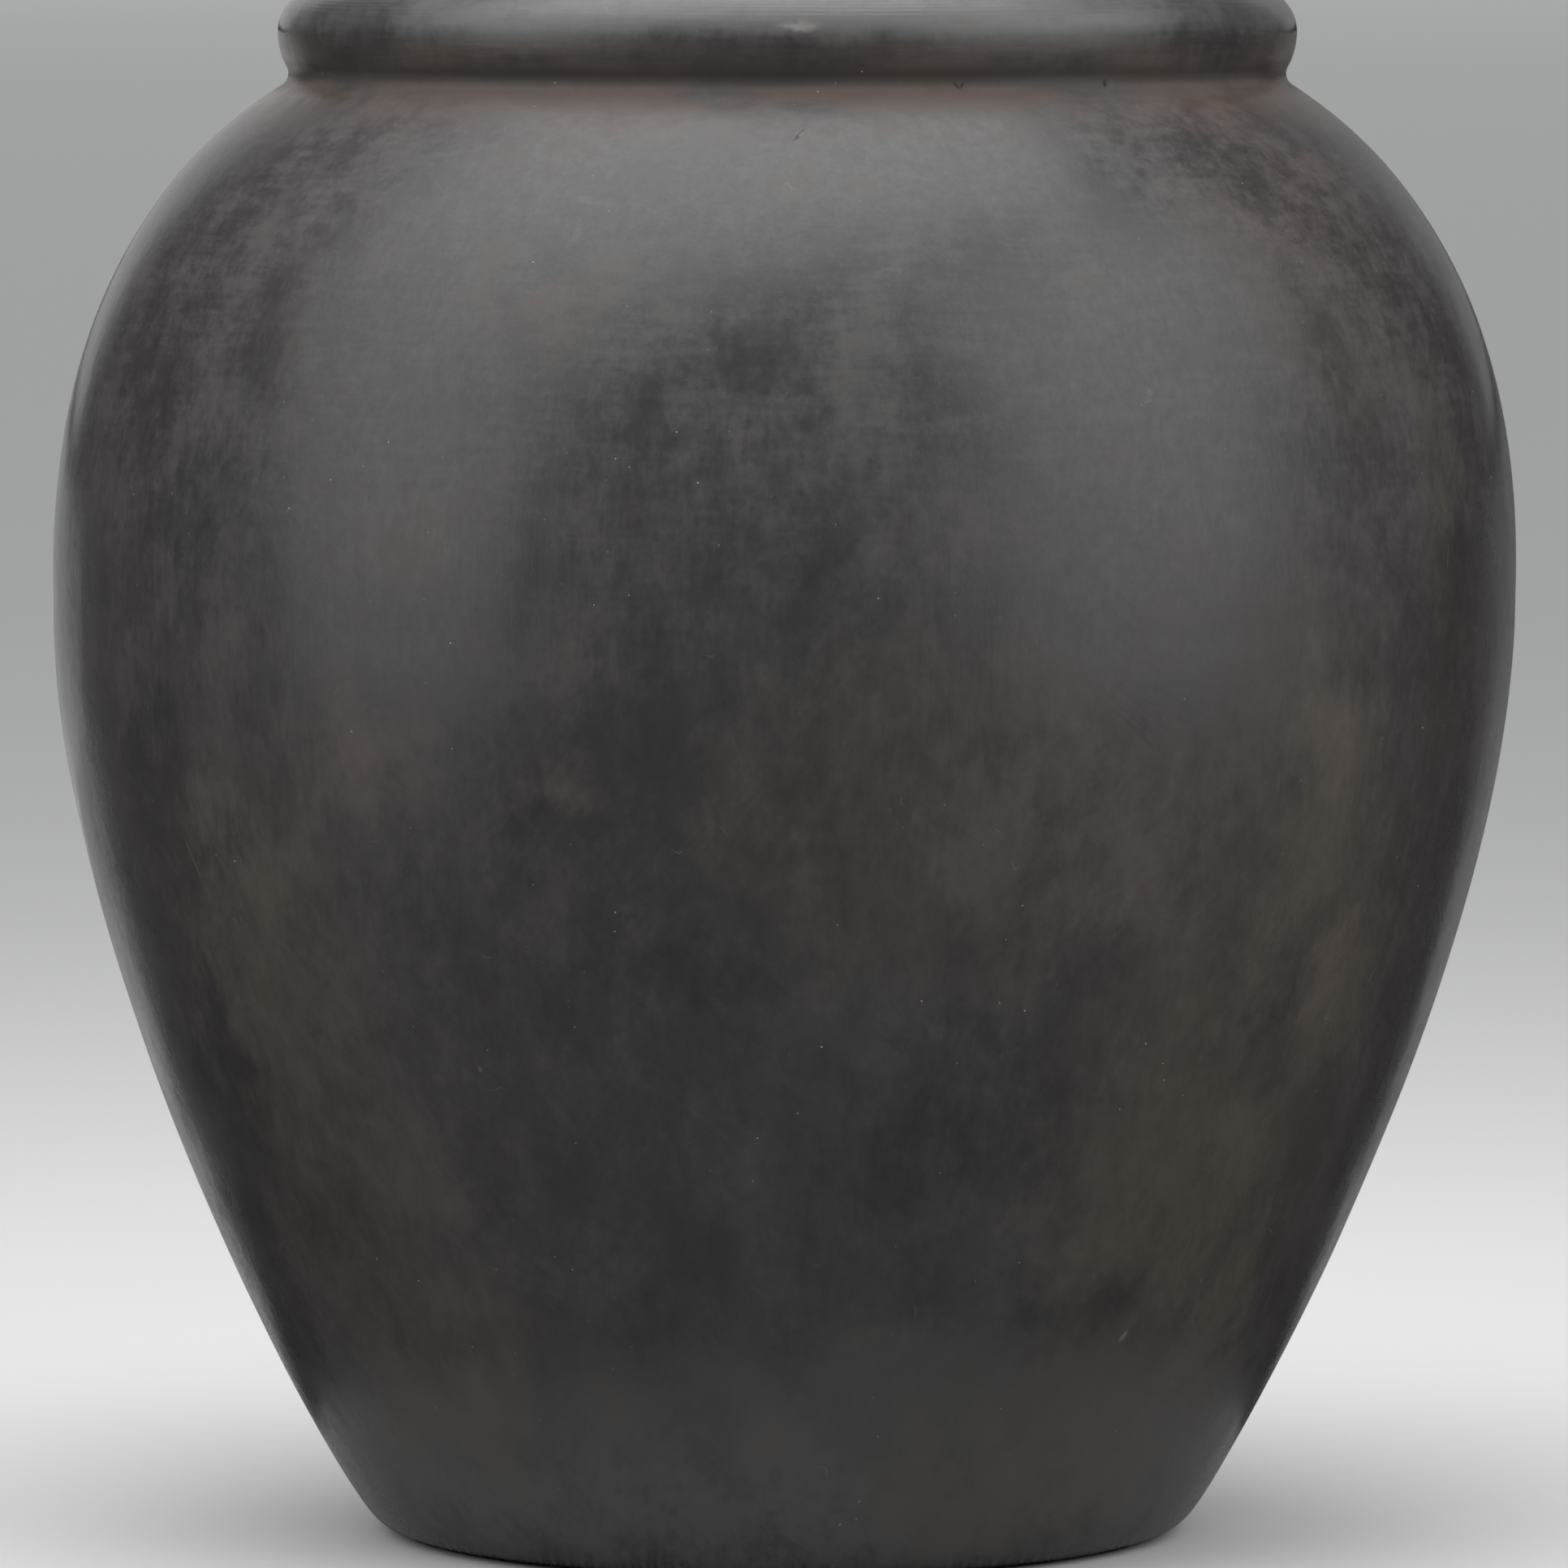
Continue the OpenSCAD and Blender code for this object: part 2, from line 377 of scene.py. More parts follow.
CHARCOAL_DARK, CHARCOAL_PALE = (0.0272, 0.0252, 0.0258, 1), (0.0395, 0.0364, 0.0374, 1)
# Soot black, also used as painted shade at the top of the dark band on the front between the side
# highlights
SOOT_AND_SHADE = (0.0185, 0.0178, 0.0183, 1)
HAZE = (0.0385, 0.0345, 0.0285, 1)
OLIVE_BROWN = (0.0535, 0.0437, 0.0328, 1)
RED_BROWN = (0.066, 0.0475, 0.0410, 1)
LIP_BROWN = (0.043, 0.0345, 0.0295, 1)
BAND_BROWN = (0.066, 0.0465, 0.0375, 1)
GROOVE_DIRT = (0.036, 0.0262, 0.0212, 1)
# Pale grey of wear, also used as painted sheen: the floor's reflection low on the foot and the top light's
# highlight on the lip
WEAR_AND_SHEEN_GREY = (0.062, 0.0612, 0.0615, 1)
FILM = (0.090, 0.089, 0.088, 1)
DUST = (0.25, 0.24, 0.23, 1)
CHIP_TAN = (0.115, 0.083, 0.064, 1)
RAW_DARK, RAW_PALE = (0.014, 0.0135, 0.013, 1), (0.030, 0.0280, 0.0262, 1)
SCUFFED = (0.066, 0.053, 0.044, 1)
RELIEF_DEPTH = 0.045 * MM
CLAY_IOR = 1.5

# Zones of the surface, each as the heights where it starts and where it is full
GLOSSY_ZONE = 20 * MM, 160 * MM
FILM_ZONE = 165 * MM, 265 * MM
WISPY_ZONE = 225 * MM, 270 * MM
LIP_ZONE = NECK_Z + 1 * MM, NECK_Z + 4 * MM
SOILED_ZONE = POT_H - 7 * MM, POT_H - 12 * MM
# The foot zone is paler towards the bottom as a painted floor reflection, and the lip zone is paler on top
# as a painted highlight, both along with wear
FOOT_WEAR_AND_SHEEN_ZONE = 62 * MM, 2 * MM
LIP_WEAR_AND_SHEEN_ZONE = POT_H - 10 * MM, POT_H - 6 * MM
BAND_FROM_BELOW = NECK_Z - 13 * MM, NECK_Z - 1 * MM
BAND_FROM_ABOVE = NECK_Z + 8 * MM, NECK_Z + 1 * MM
DIRT_FROM_BELOW = NECK_Z - 1.6 * MM, NECK_Z + 0.2 * MM
UNPOLISHED_FROM_BELOW = NECK_Z - 4.5 * MM, NECK_Z - 2.2 * MM
GROOVE_FROM_ABOVE = NECK_Z + 4.5 * MM, NECK_Z + 1.5 * MM

# The back of the pot, as the distances behind its axis where the change starts and is full
BACK_ZONE = -30 * MM, 50 * MM

# How far each colour covers the one under it
OLIVE_COVER, RED_COVER, SOOT_AND_SHADE_COVER, FLECK_COVER = 0.72, 0.70, 0.60, 0.45
SOILED_COVER, BAND_COVER = 0.60, 0.85

# Broad olive haze, then clouds and marks left by the firing and by use, with a few soot clouds that are
# painted shade, each as:
# degrees round from the front, height, half width, half height (mm), tilt of its width below the level
# (degrees), strength
HAZE_CLOUDS = [
    (43, 112, 36, 78, 0, 0.85), (16, 158, 44, 34, 0, 0.45), (-46, 104, 24, 66, 0, 0.50),
    (-38, 44, 26, 26, 0, 0.4), (30, 28, 34, 20, 0, 0.5), (52, 262, 24, 32, 0, 0.45),
    (62, 205, 10, 40, 0, 0.5)]
OLIVE_CLOUDS = [
    (-48, 128, 22, 32, -12, 0.70), (-52, 112, 11, 16, 0, 0.60), (-37, 84, 17, 20, -20, 0.55),
    (-40, 44, 19, 19, 0, 0.50), (-34, 168, 16, 14, 20, 0.45), (-45, 247, 8, 6, 0, 0.5),
    (-41, 189, 4, 3, 0, 0.7), (3, 160, 20, 24, -20, 0.45), (20, 156, 26, 26, 0, 0.55),
    (31, 148, 16, 24, 30, 0.55), (16, 182, 14, 9, 0, 0.40), (47, 158, 17, 28, 0, 0.90),
    (55, 124, 17, 24, -20, 0.75), (40, 82, 25, 27, -35, 1.0), (36, 66, 14, 14, 0, 0.5),
    (52, 50, 12, 19, 0, 0.85), (41, 116, 15, 18, -30, 0.55), (36, 18, 26, 13, 0, 0.55),
    (62, 222, 9, 16, 0, 0.5), (52, 243, 9, 11, 0, 0.5), (60, 182, 7, 14, 0, 0.45)]
RED_CLOUDS = [
    (-20, 257, 13, 8, 0, 0.45), (-31, 212, 11, 8, 0, 0.50), (-33, 169, 12, 11, 20, 0.60),
    (-17, 160, 7, 8, 20, 0.5), (-52, 150, 10, 12, 0, 0.45), (-55, 124, 9, 14, 0, 0.60),
    (29.6, 140, 8, 2.5, -70, 0.6), (47, 170, 11, 9, 0, 0.65), (52, 126, 12, 7, -40, 0.75),
    (50, 276, 25, 19, 0, 0.62), (40, 272, 11, 10, 0, 0.55), (57, 262, 12, 13, 0, 0.45),
    (-38, 40, 12, 10, 0, 0.35), (-16, 292, 22, 5, 0, 0.35), (10, 291, 16, 4, 0, 0.25)]
# Where the clay is a neutral grey, without the plum tint of the rest
GREY_CLOUDS = [
    (0, 58, 46, 66, 0, 1.0), (0, 18, 62, 22, 0, 1.0), (4, 262, 78, 34, 0, 1.0),
    (0, 160, 30, 70, 0, 0.4)]
# The soot clouds at the front middle, 232, 246 and 260 mm high, are painted shade: they darken the top of
# the dark band between the side highlights
SOOT_AND_SHADE_CLOUDS = [
    (2, 232, 20, 20, 0, 0.28), (-49, 147, 9, 9, 0, 0.5), (-52, 213, 14, 22, 0, 0.60),
    (-58, 172, 11, 14, 0, 0.60), (-58, 97, 12, 17, -15, 0.80), (-4, 210, 13, 9, 0, 0.3),
    (-8, 260, 12, 8, 0, 0.42), (-9, 130, 20, 8, 20, 0.7), (15, 97, 20, 18, 0, 0.75),
    (-18, 155, 11, 7, 20, 0.55), (32, 55, 12, 10, -25, 0.85), (22, 162, 10, 5, 0, 0.5),
    (63, 250, 9, 24, -18, 0.6), (-6, 246, 17, 10, 0, 0.33), (64, 199, 8, 18, 0, 0.6),
    (44, 120, 10, 9, 0, 0.5), (-49, 73, 10, 11, 0, 0.5), (-62, 74, 10, 14, 0, 0.6)]
LIP_SOOT_CLOUDS = [
    (-57, 309, 20, 13, 0, 1.0), (-2, 304, 22, 5, 0, 0.9), (58, 311, 20, 12, 0, 1.0),
    (-30, 302, 16, 3, 0, 0.5), (28, 302, 20, 3, 0, 0.5)]
LIP_RED_CLOUDS = [
    (-34, 303, 28, 4, 0, 0.6), (43, 303, 28, 3, 0, 0.5), (10, 303, 40, 3, 0, 0.4)]
FLECKED_CLOUDS = [
    (50, 277, 24, 18, 0, 0.8), (58, 262, 12, 12, 0, 0.6), (42, 291, 14, 6, 0, 0.6)]
# Nicks, scratches and smears, in the same terms
DARK_MARKS = [
    (19.7, 299.2, 0.9, 0.28, 50, 1.0), (20.3, 299.2, 0.9, 0.28, -55, 1.0),
    (38.6, 299.1, 0.45, 1.1, 5, 1.0), (1.8, 289.8, 1.9, 0.26, -46, 0.85),
    (-16, 212.9, 0.6, 0.3, 20, 0.5), (50.5, 279, 2.0, 0.35, -20, 0.7)]
TAN_MARKS = [
    (2.0, 290.0, 0.9, 0.2, -46, 0.8), (38.4, 49.9, 1.3, 0.55, -60, 0.6),
    (-54.3, 145, 0.22, 4.6, -24, 0.35), (62, 205, 0.18, 3.0, 8, 0.3)]
PALE_MARKS = [
    (2, 311, 3.2, 1.0, 0, 0.40), (-17, 277, 4, 0.5, 10, 0.05), (-18, 271, 0.5, 3, 12, 0.05),
    (9, 264, 3, 0.4, -8, 0.06)]


def radius_at(height):
    """Outside radius of the pot at a height."""
    last = rows_of["roll"][0]
    return float(np.interp(height, skin[:last + 1, 1], skin[:last + 1, 0]))


class Graph:
    """Short ways to add nodes to a node tree and wire them up."""

    def __init__(self, tree):
        self.tree = tree

    def add(self, kind, inputs=None, **settings):
        node = self.tree.nodes.new(kind)
        for key, value in settings.items():
            setattr(node, key, value)
        for key, value in (inputs or {}).items():
            if isinstance(value, bpy.types.NodeSocket):
                self.tree.links.new(value, node.inputs[key])
            else:
                node.inputs[key].default_value = value
        return node

    def math(self, operation, *values):
        return self.add("ShaderNodeMath", dict(enumerate(values)), operation=operation).outputs[0]

    def times(self, a, b):
        return self.math("MULTIPLY", a, b)

    def plus(self, a, b):
        return self.math("ADD", a, b)

    def larger(self, a, b):
        return self.math("MAXIMUM", a, b)

    def between(self, value, low, high, to_low=0.0, to_high=1.0):
        """A smooth step from to_low, where value is low, to to_high, where it is high."""
        return self.add("ShaderNodeMapRange", {0: value, 1: low, 2: high, 3: to_low, 4: to_high},
                        interpolation_type="SMOOTHSTEP").outputs[0]

    def blend(self, share, a, b):
        return self.add("ShaderNodeMix", {0: share, 2: a, 3: b}).outputs[0]

    def mix(self, share, a, b):
        return self.add("ShaderNodeMix", {0: share, 6: a, 7: b}, data_type="RGBA").outputs[2]

    def stretched(self, where, stretch):
        return self.add("ShaderNodeVectorMath", {0: where, 1: [1 / s for s in stretch]},
                        operation="MULTIPLY").outputs[0]

    def twisted(self, where, height, turns_per_metre):
        """where, turned about the pot's axis in step with its height."""
        angle = self.times(height, 2 * math.pi * turns_per_metre)
        return self.add("ShaderNodeVectorRotate", {"Vector": where, "Angle": angle},
                        rotation_type="Z_AXIS").outputs[0]

    def noise(self, where, size, detail=3.0, roughness=0.55, output="Fac"):
        return self.add("ShaderNodeTexNoise", {"Vector": where, "Scale": 1 / size, "Detail": detail,
                                               "Roughness": roughness}).outputs[output]

    def shifted(self, where, size, distance, stretch=(1, 1, 1)):
        """where, moved about by up to half of distance, for ragged edges."""
        cloudy = self.noise(self.stretched(where, stretch), size, 3, 0.6, "Color")
        shift = self.add("ShaderNodeVectorMath", {0: cloudy, 1: (0.5, 0.5, 0.5)},
                         operation="SUBTRACT").outputs[0]
        return self.add("ShaderNodeVectorMath", {0: shift, 1: (distance,) * 3, 2: where},
                        operation="MULTIPLY_ADD").outputs[0]

    def after(self, value, where):
        """where, worked out only once value is, so that the renderer holds fewer values at a time."""
        return self.add("ShaderNodeVectorMath", {0: value, 1: (1e-9,) * 3, 2: where},
                        operation="MULTIPLY_ADD").outputs[0]

    def cloud(self, where, cloud, soft):
        """The cloud's strength in its middle, and 0 outside it."""
        degrees, height, half_width, half_height, tilt, strength = cloud
        angle, r = math.radians(degrees), radius_at(height * MM)
        local = self.add("ShaderNodeMapping", {
            "Vector": where, "Location": (r * math.sin(angle), -r * math.cos(angle), height * MM),
            "Rotation": (0, math.radians(tilt), angle),
            "Scale": (half_width * MM, max(half_width, half_height) * MM, half_height * MM)},
            vector_type="TEXTURE").outputs[0]
        away = self.add("ShaderNodeVectorMath", {0: local}, operation="LENGTH").outputs["Value"]
        return self.between(away, 1 + soft, 1 - soft, 0.0, strength)

    def clouds(self, where, clouds, soft):
        total = self.cloud(where, clouds[0], soft)
        for c in clouds[1:]:
            total = self.larger(total, self.cloud(where, c, soft))
        return total


def clay_group():
    """The burnished, smoke-fired surface, shared by all the pieces so that it runs on over the seams."""
    tree = bpy.data.node_groups.new("smoke_fired_clay", "ShaderNodeTree")
    for name, kind in [("Color", "NodeSocketColor"), ("Roughness", "NodeSocketFloat"),
                       ("Height", "NodeSocketFloat")]:
        tree.interface.new_socket(name, in_out="OUTPUT", socket_type=kind)
    g = Graph(tree)
    where = g.add("ShaderNodeTexCoord").outputs["Object"]
    sides = g.add("ShaderNodeSeparateXYZ", {0: where})
    height = sides.outputs["Z"]
    on_back = g.between(sides.outputs["Y"], *BACK_ZONE)
    on_lip = g.between(height, *LIP_ZONE)

    # Burnishing strokes: upright and leaning on the wall, and round the shoulder and the lip
    upright = g.noise(g.stretched(where, (1, 1, 12)), 1.3 * MM, 3, 0.65)
    leaning_left = g.noise(g.stretched(g.twisted(where, height, -1.0), (1, 1, 8)), 1.9 * MM, 3, 0.65)
    leaning_right = g.noise(g.stretched(g.twisted(where, height, 1.4), (1, 1, 8)), 1.8 * MM, 3, 0.65)
    around = g.noise(g.stretched(where, (14, 14, 1)), 0.8 * MM, 3, 0.65)
    wisps = g.noise(g.stretched(where, (6, 6, 1)), 1.9 * MM, 4, 0.65)
    which_way = g.between(g.noise(where, 70 * MM, 1), 0.44, 0.56)
    upright_share = g.between(g.noise(where, 50 * MM, 1), 0.42, 0.58, 0.15, 0.9)
    strokes = g.blend(upright_share, g.blend(which_way, leaning_left, leaning_right), upright)
    strokes = g.blend(g.between(height, *WISPY_ZONE, 0.15, 0.85), strokes, wisps)
    strokes = g.blend(on_lip, strokes, around)

    # Mottling from broad to fine, drawn out along the strokes
    broad = g.noise(g.stretched(where, (1, 1, 1.3)), 60 * MM, 3)
    middle = g.noise(g.stretched(where, (1, 1, 1.4)), 15 * MM, 6, 0.65)
    small = g.noise(g.stretched(where, (1, 1, 1.8)), 3.2 * MM, 4, 0.7)
    fine = g.noise(g.stretched(where, (1, 1, 1.5)), 1.5 * MM, 3, 0.85)
    grain = g.noise(where, 0.9 * MM, 2, 0.7)
    patchy = g.plus(g.times(middle, 0.58), g.plus(g.times(small, 0.27), g.times(strokes, 0.15)))
    ragged = g.times(g.plus(patchy, -0.5), 3.0)

    # Fire clouds: placed on the front, and scattered by the noise on the back
    shifted = g.shifted(where, 16 * MM, 36 * MM)
    haze = g.larger(g.clouds(shifted, HAZE_CLOUDS, 0.5), g.times(g.between(broad, 0.44, 0.60), on_back))
    haze = g.times(haze, g.between(middle, 0.30, 0.55, 0.35, 1.0))
    olive = g.clouds(shifted, OLIVE_CLOUDS, 0.65)
    olive = g.larger(olive, g.times(g.between(broad, 0.50, 0.64), on_back))
    olive = g.between(g.plus(olive, ragged), 0.0, 1.35)
    shifted = g.after(olive, shifted)
    along_lip = g.shifted(g.after(olive, where), 4 * MM, 9 * MM, (7, 7, 1))
    red = g.larger(g.clouds(shifted, RED_CLOUDS, 0.65), g.clouds(along_lip, LIP_RED_CLOUDS, 0.65))
    red = g.between(g.plus(red, ragged), 0.0, 1.30)
    grey = g.clouds(shifted, GREY_CLOUDS, 0.35)
    shifted, along_lip = g.after(red, shifted), g.after(red, along_lip)
    # Soot, with painted shade at the top of the dark band on the front
    soot_and_shade = g.larger(g.clouds(shifted, SOOT_AND_SHADE_CLOUDS, 0.65), g.clouds(along_lip, LIP_SOOT_CLOUDS, 0.55))
    soot_and_shade = g.larger(soot_and_shade, g.times(g.between(broad, 0.50, 0.38), on_back))
    soot_and_shade = g.between(g.plus(soot_and_shade, g.times(ragged, -0.7)), 0.0, 1.20)
    lip_soiled = g.between(g.plus(height, g.times(ragged, 2.5 * MM)), *SOILED_ZONE)
    lip_soiled = g.times(lip_soiled, on_lip)
    flecked = g.clouds(shifted, FLECKED_CLOUDS, 0.6)
    flecks = g.noise(g.stretched(where, (1.5, 1.5, 0.9)), 1.9 * MM, 4, 0.75)
    flecks = g.times(g.between(flecks, 0.50, 0.60), flecked)
    # Paler clay at the foot and on the top of the lip: wear, and painted sheen for the floor's reflection
    # and the top light's highlight
    foot_wear_and_sheen = g.times(g.between(g.plus(height, g.times(ragged, 30 * MM)), *FOOT_WEAR_AND_SHEEN_ZONE),
                        g.between(patchy, 0.42, 0.57, 0.12, 0.68))
    lip_wear_and_sheen = g.between(g.plus(height, g.times(ragged, 2.0 * MM)), *LIP_WEAR_AND_SHEEN_ZONE)

    # A thin film of dust and wear in wisps, mostly on the shoulder
    wispy = g.plus(g.times(middle, 0.45), g.plus(g.times(wisps, 0.30), g.times(fine, 0.25)))
    film = g.times(g.between(wispy, 0.43, 0.62), g.between(height, *FILM_ZONE, 0.0, 0.26))

    # The clay below the groove was left unburnished and is browner, and the groove itself holds dirt
    smeared = g.between(g.noise(g.stretched(where, (3, 3, 1)), 12 * MM, 3), 0.30, 0.52)
    band = g.times(g.between(height, *BAND_FROM_BELOW), g.between(height, *BAND_FROM_ABOVE))
    band = g.times(band, smeared)
    dirt = g.times(g.between(height, *DIRT_FROM_BELOW), g.between(height, *GROOVE_FROM_ABOVE))
    dirt = g.times(dirt, g.between(smeared, 0.0, 1.0, 0.6, 0.95))
    unpolished = g.times(g.between(height, *UNPOLISHED_FROM_BELOW),
                         g.between(height, *GROOVE_FROM_ABOVE))

    # Colour
    shade = g.plus(g.plus(g.times(broad, 0.33), g.times(middle, 0.31)),
                   g.plus(g.plus(g.times(strokes, 0.08), g.times(small, 0.11)), g.times(fine, 0.17)))
    colour = g.mix(g.between(shade, 0.36, 0.64), CHARCOAL_DARK, CHARCOAL_PALE)
    colour = g.mix(grey, colour, g.add("ShaderNodeRGBToBW", {0: colour}).outputs[0])
    # Paler wear, and painted sheen on the foot and the top of the lip
    colour = g.mix(g.larger(lip_wear_and_sheen, foot_wear_and_sheen), colour, WEAR_AND_SHEEN_GREY)
    colour = g.mix(film, colour, FILM)
    colour = g.mix(haze, colour, HAZE)
    colour = g.mix(g.times(olive, OLIVE_COVER), colour, OLIVE_BROWN)
    colour = g.mix(g.times(red, RED_COVER), colour, RED_BROWN)
    colour = g.mix(g.times(lip_soiled, SOILED_COVER), colour, LIP_BROWN)
    colour = g.mix(g.times(band, BAND_COVER), colour, BAND_BROWN)
    colour = g.mix(dirt, colour, GROOVE_DIRT)
    # Soot, with painted shade at the top of the front's dark band
    colour = g.mix(g.times(soot_and_shade, SOOT_AND_SHADE_COVER), colour, SOOT_AND_SHADE)
    colour = g.mix(g.times(flecks, FLECK_COVER), colour, SOOT_AND_SHADE)

    # Dust specks and short curls of lint
    speck_cell = g.add("ShaderNodeTexVoronoi", {"Vector": where, "Scale": 1 / (4.0 * MM)})
    speck_tone = g.add("ShaderNodeSeparateColor", {0: speck_cell.outputs["Color"]}).outputs[0]
    specks = g.times(g.between(speck_cell.outputs["Distance"], 0.055, 0.035),
                     g.times(speck_tone, speck_tone))
    specks = g.times(specks, g.between(g.noise(where, 40 * MM, 1), 0.40, 0.60, 0.15, 1.0))
    lint_cell = g.add("ShaderNodeTexVoronoi", {"Vector": where, "Scale": 1 / (19 * MM)}).outputs["Distance"]
    curl = g.math("ABSOLUTE", g.plus(g.noise(where, 6 * MM, 1), -0.5))
    lint = g.times(g.between(curl, 0.012, 0.006), g.between(lint_cell, 0.10, 0.08))
    dust = g.larger(g.times(specks, 0.9), g.times(lint, 0.10))
    colour = g.mix(dust, colour, DUST)

    # Nicks and scratches
    near = g.shifted(g.after(soot_and_shade, where), 0.8 * MM, 0.5 * MM)
    dark_marks = g.clouds(near, DARK_MARKS, 0.35)
    tan_marks = g.clouds(near, TAN_MARKS, 0.35)
    pale_marks = g.clouds(g.shifted(near, 3 * MM, 3 * MM), PALE_MARKS, 0.8)
    colour = g.mix(pale_marks, colour, DUST)
    colour = g.mix(dark_marks, colour, SOOT_AND_SHADE)
    colour = g.mix(tan_marks, colour, CHIP_TAN)

    # Polish: the brown clay, the groove and the marks are duller
    polish = g.plus(g.plus(g.times(middle, 0.38), g.times(broad, 0.16)),
                    g.plus(g.times(strokes, 0.20), g.times(small, 0.26)))
    roughness = g.between(polish, 0.40, 0.60, 0.31, 0.53)
    dull = g.plus(g.times(g.larger(olive, red), 0.04),
                  g.plus(g.times(band, 0.06), g.times(unpolished, 0.30)))
    dull = g.plus(dull, g.times(g.larger(dust, g.larger(dark_marks, tan_marks)), 0.25))
    roughness = g.plus(roughness, dull)

    # Relief
    relief = g.plus(g.times(strokes, 0.65), g.plus(g.times(small, 0.9), g.times(grain, 0.18)))
    relief = g.plus(relief, g.times(middle, 2.2))

    out = g.add("NodeGroupOutput")
    for name, socket in [("Color", colour), ("Roughness", roughness), ("Height", relief)]:
        tree.links.new(socket, out.inputs[name])
    return tree


SURFACE = clay_group()


def clay(name, coverage=None):
    """Burnished clay. coverage, if given, returns where it gives way to the raw clay of the inside."""
    material = bpy.data.materials.new(name)
    material.use_nodes = True
    g = Graph(material.node_tree)
    shader = g.tree.nodes["Principled BSDF"]
    surface = g.add("ShaderNodeGroup", node_tree=SURFACE)
    colour, roughness, height = (surface.outputs[i] for i in range(3))
    # A burnished surface looks glossier at a glancing angle, and less so near the worn foot
    glancing = g.add("ShaderNodeLayerWeight", {"Blend": 0.5}).outputs["Facing"]
    where = g.add("ShaderNodeTexCoord").outputs["Object"]
    height_up = g.add("ShaderNodeSeparateXYZ", {0: where}).outputs["Z"]
    glossiest = g.between(height_up, *GLOSSY_ZONE, 0.60, 0.35)
    roughness = g.times(roughness, g.between(glancing, 0.55, 0.90, 1.0, glossiest))
    if coverage:
        raw_share, raw_colour, raw_roughness, raw_height = coverage(g)
        colour = g.mix(raw_share, colour, raw_colour)
        roughness = g.blend(raw_share, roughness, raw_roughness)
        height = g.blend(raw_share, height, raw_height)
    bump = g.add("ShaderNodeBump", {"Height": height, "Distance": RELIEF_DEPTH, "Strength": 1.0})
    g.tree.links.new(colour, shader.inputs["Base Color"])
    g.tree.links.new(roughness, shader.inputs["Roughness"])
    g.tree.links.new(bump.outputs[0], shader.inputs["Normal"])
    shader.inputs["IOR"].default_value = CLAY_IOR
    return material


def raw_inside(g):
    """The inside: matt, darker, and wiped round with wet fingers. The burnishing stops inside the lip."""
    where = g.add("ShaderNodeTexCoord").outputs["Object"]
    height = g.add("ShaderNodeSeparateXYZ", {0: where}).outputs["Z"]
    edge = g.plus(height, g.times(g.noise(where, 9 * MM, 3), 10 * MM))
    grain = g.noise(where, 1.8 * MM, 4, 0.65)
    wiped = g.noise(g.stretched(where, (9, 9, 1)), 2.6 * MM, 3)
    broad = g.noise(where, 40 * MM, 4)
    shade = g.between(g.plus(g.times(broad, 0.6), g.times(wiped, 0.4)), 0.38, 0.62)
    return (g.between(edge, POT_H + 2 * MM, POT_H - 6 * MM), g.mix(shade, RAW_DARK, RAW_PALE),
            g.between(grain, 0.35, 0.65, 0.56, 0.76),
            g.plus(g.times(grain, 2.5), g.times(wiped, 5.0)))


def raw_under(g):
    """The underside was left raw, and is scuffed paler where it rubs."""
    where = g.add("ShaderNodeTexCoord").outputs["Object"]
    height = g.add("ShaderNodeSeparateXYZ", {0: where}).outputs["Z"]
    scuffs = g.noise(where, 7 * MM, 5, 0.7)
    edge = g.plus(height, g.times(scuffs, 2.4 * MM))
    return (g.between(edge, 2.2 * MM, 0.8 * MM),
            g.mix(g.between(scuffs, 0.42, 0.62), RAW_PALE, SCUFFED),
            g.between(scuffs, 0.3, 0.7, 0.55, 0.75), g.times(scuffs, 5.0))


INSIDE = clay("inside_clay", coverage=raw_inside)
WALL = clay("wall_clay")
NECK = clay("neck_clay")
LIP = clay("lip_clay")
BASE = clay("base_clay", coverage=raw_under)


def rows_along(*names):
    """The rows of some stretches, in order, with each row once."""
    rows = []
    for name in names:
        rows += [row for row in rows_of[name] if row not in rows]
    return rows


def clay_piece(node, rows, outer, closed=True):
    piece = make_piece(node + "_clay", rows, [outer, INSIDE], closed)
    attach(piece, "root")
    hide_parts(node)


clay_piece("base_slab",
           rows_along("underside", "foot_round") + [corner_row] + rows_along("floor"), BASE, closed=False)
clay_piece("base_fillet_coil", rows_along("coil_face") + [corner_row] + wall_side_rows, BASE)
clay_piece("foot_wall",
           rows_along("foot_outside", "foot_inside") + wall_side_rows[::-1] + [corner_row], WALL)
for course in ("lower", "belly", "upper", "shoulder"):
    clay_piece(course + "_wall", rows_along(course + "_outside", course + "_inside"), WALL)
clay_piece("neck_ring", rows_along("neck_outside", "groove_low", "neck_inside"), NECK)
clay_piece("rim_coil", rows_along("groove_high", "lip_side", "roll", "lip_inside"), LIP)


# ---------------------------------------------------------------- floor, light and camera

def softbox(name, azimuth, elevation, distance, width, height, radiance):
    """A soft panel facing the pot. Azimuth 0 is on the camera's side, and 90 is on the right."""
    a, e = math.radians(azimuth), math.radians(elevation)
    aim = Vector((0, 0, POT_H / 2))
    away = Vector((math.sin(a) * math.cos(e), -math.cos(a) * math.cos(e), math.sin(e)))
    light = bpy.data.lights.new(name, "AREA")
    light.shape = "RECTANGLE"
    light.size, light.size_y = width, height
    light.energy = radiance * math.pi * width * height
    box = bpy.data.objects.new(name, light)
    box.location = aim + distance * away
    box.rotation_mode = "QUATERNION"
    box.rotation_quaternion = away.to_track_quat("Z", "Y")
    box.visible_camera = False
    bpy.context.scene.collection.objects.link(box)


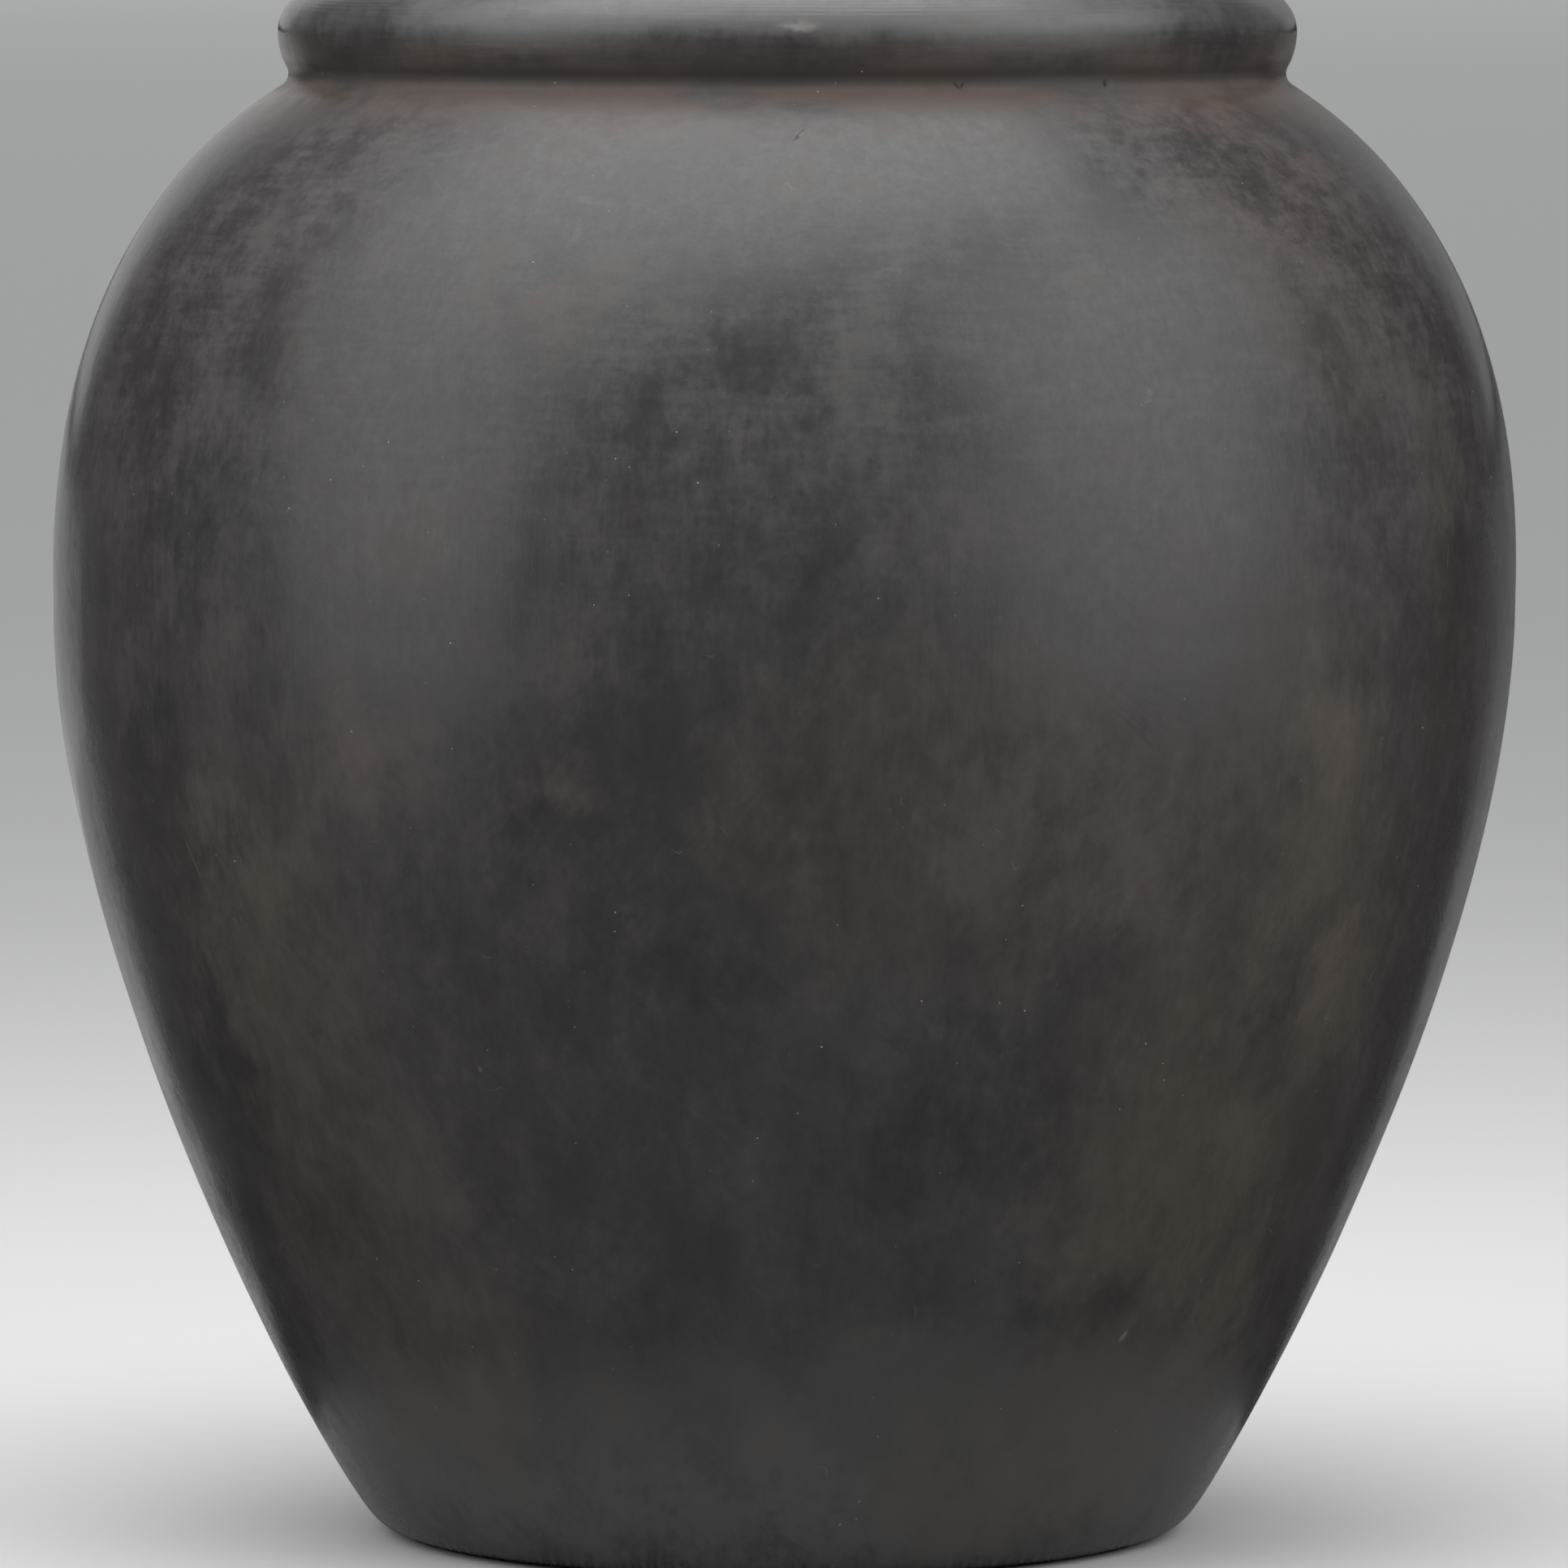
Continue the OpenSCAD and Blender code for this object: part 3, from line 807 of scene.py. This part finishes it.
# Name, azimuth and elevation (degrees), distance, width and height (metres), radiance
softbox("softbox_top", -50, 85, 1.15, 1.3, 1.35, 3.2)
softbox("softbox_top_front", 0, 58, 1.2, 1.2, 0.5, 0.15)
softbox("softbox_left_low", -58, 12, 1.1, 0.7, 0.7, 1.9)
softbox("softbox_left_high", -62, 42, 1.1, 0.95, 0.5, 2.0)
softbox("softbox_right_low", 55, 12, 1.1, 0.95, 0.7, 1.9)
softbox("softbox_right_high", 60, 42, 1.1, 1.1, 0.5, 2.2)
softbox("backdrop_left", -166, 16, 35, 17, 19, 0.45)
softbox("backdrop_right", 165, 16, 35, 18, 19, 0.22)

world = bpy.data.worlds.new("studio")
bpy.context.scene.world = world
world.use_nodes = True
ambient = world.node_tree.nodes["Background"].inputs
ambient["Color"].default_value = (0.86, 0.87, 0.88, 1)
ambient["Strength"].default_value = 0.8
world.cycles_visibility.glossy = False


# The floor is a disc of narrow sectors. It shows in glossy reflections only close round the foot and
# behind the pot, and there only in some sectors of each ring, fewer of them on the dimmer right.
SECTOR_DEGREES = 0.5
SECTORS = range(-360, 360)
FLOOR_REACH = 60
FOOT_RING, NEAR_RING, MID_RING, FAR_RING = (0.080, 0.136), (0.136, 0.350), (0.350, 1.300), (1.300, 34)


def some(sectors, group, kept):
    """Out of every group of sectors, the kept ones."""
    return [k for k in sectors if k % group in kept]


RINGS = [(FOOT_RING, some(SECTORS, 5, (0, 2, 4))),
         (NEAR_RING, some(range(-108, 0), 5, (0, 2, 4)) + some(range(0, 96), 5, (0, 2))),
         (MID_RING, some(range(-90, 0), 5, (0, 2, 4)) + some(range(0, 80), 3, (0,))),
         (FAR_RING, [*range(-76, 0)] + some(range(0, 76), 5, (0, 2)))]


def on_floor(radius, sector):
    """The point at a radius, and at the start of a sector. Sector 0 starts straight behind the pot."""
    angle = math.radians(sector * SECTOR_DEGREES)
    return (radius * math.sin(angle), radius * math.cos(angle), 0)


def floor_part(name, parts, material):
    """A flat mesh of parts, each a sector and its inner and outer radius."""
    points, faces = [], []
    for sector, near, far in parts:
        corners = [on_floor(near, sector + 1), on_floor(near, sector),
                   on_floor(far, sector), on_floor(far, sector + 1)]
        if near == 0:
            corners = corners[1:]
        faces.append(tuple(range(len(points), len(points) + len(corners))))
        points += corners
    mesh = bpy.data.meshes.new(name)
    mesh.from_pydata(points, [], faces)
    mesh.materials.append(material)
    plane = bpy.data.objects.new(name, mesh)
    bpy.context.scene.collection.objects.link(plane)
    return plane


FLOOR_GREY = (0.50, 0.50, 0.495, 1)
pale_floor = bpy.data.materials.new("pale_floor")
pale_floor.use_nodes = True
floor_shader = pale_floor.node_tree.nodes["Principled BSDF"]
floor_shader.inputs["Base Color"].default_value = FLOOR_GREY
floor_shader.inputs["Roughness"].default_value = 0.9
floor_shader.inputs["Specular IOR Level"].default_value = 0.1
reflected = []
rest = [(k, 0, FOOT_RING[0]) for k in SECTORS] + [(k, FAR_RING[1], FLOOR_REACH) for k in SECTORS]
for ring, shown in RINGS:
    for k in SECTORS:
        (reflected if k in shown else rest).append((k, *ring))
floor_part("floor_reflected", reflected, pale_floor)
floor_part("floor", rest, pale_floor).visible_glossy = False

CAMERA_DISTANCE = 2.55
CAMERA_HEIGHT = 0.3445
CAMERA_X = 0.6 * MM
PITCH_DOWN = 4.275
LENS = 285.3

camera_data = bpy.data.cameras.new("camera")
camera_data.sensor_width = 36
camera_data.lens = LENS
camera_data.clip_start, camera_data.clip_end = 0.1, 200
camera = bpy.data.objects.new("camera", camera_data)
camera.location = (CAMERA_X, -CAMERA_DISTANCE, CAMERA_HEIGHT)
camera.rotation_euler = (math.radians(90 - PITCH_DOWN), 0, 0)
bpy.context.scene.collection.objects.link(camera)
bpy.context.scene.camera = camera
bpy.context.scene.view_settings.view_transform = "Standard"
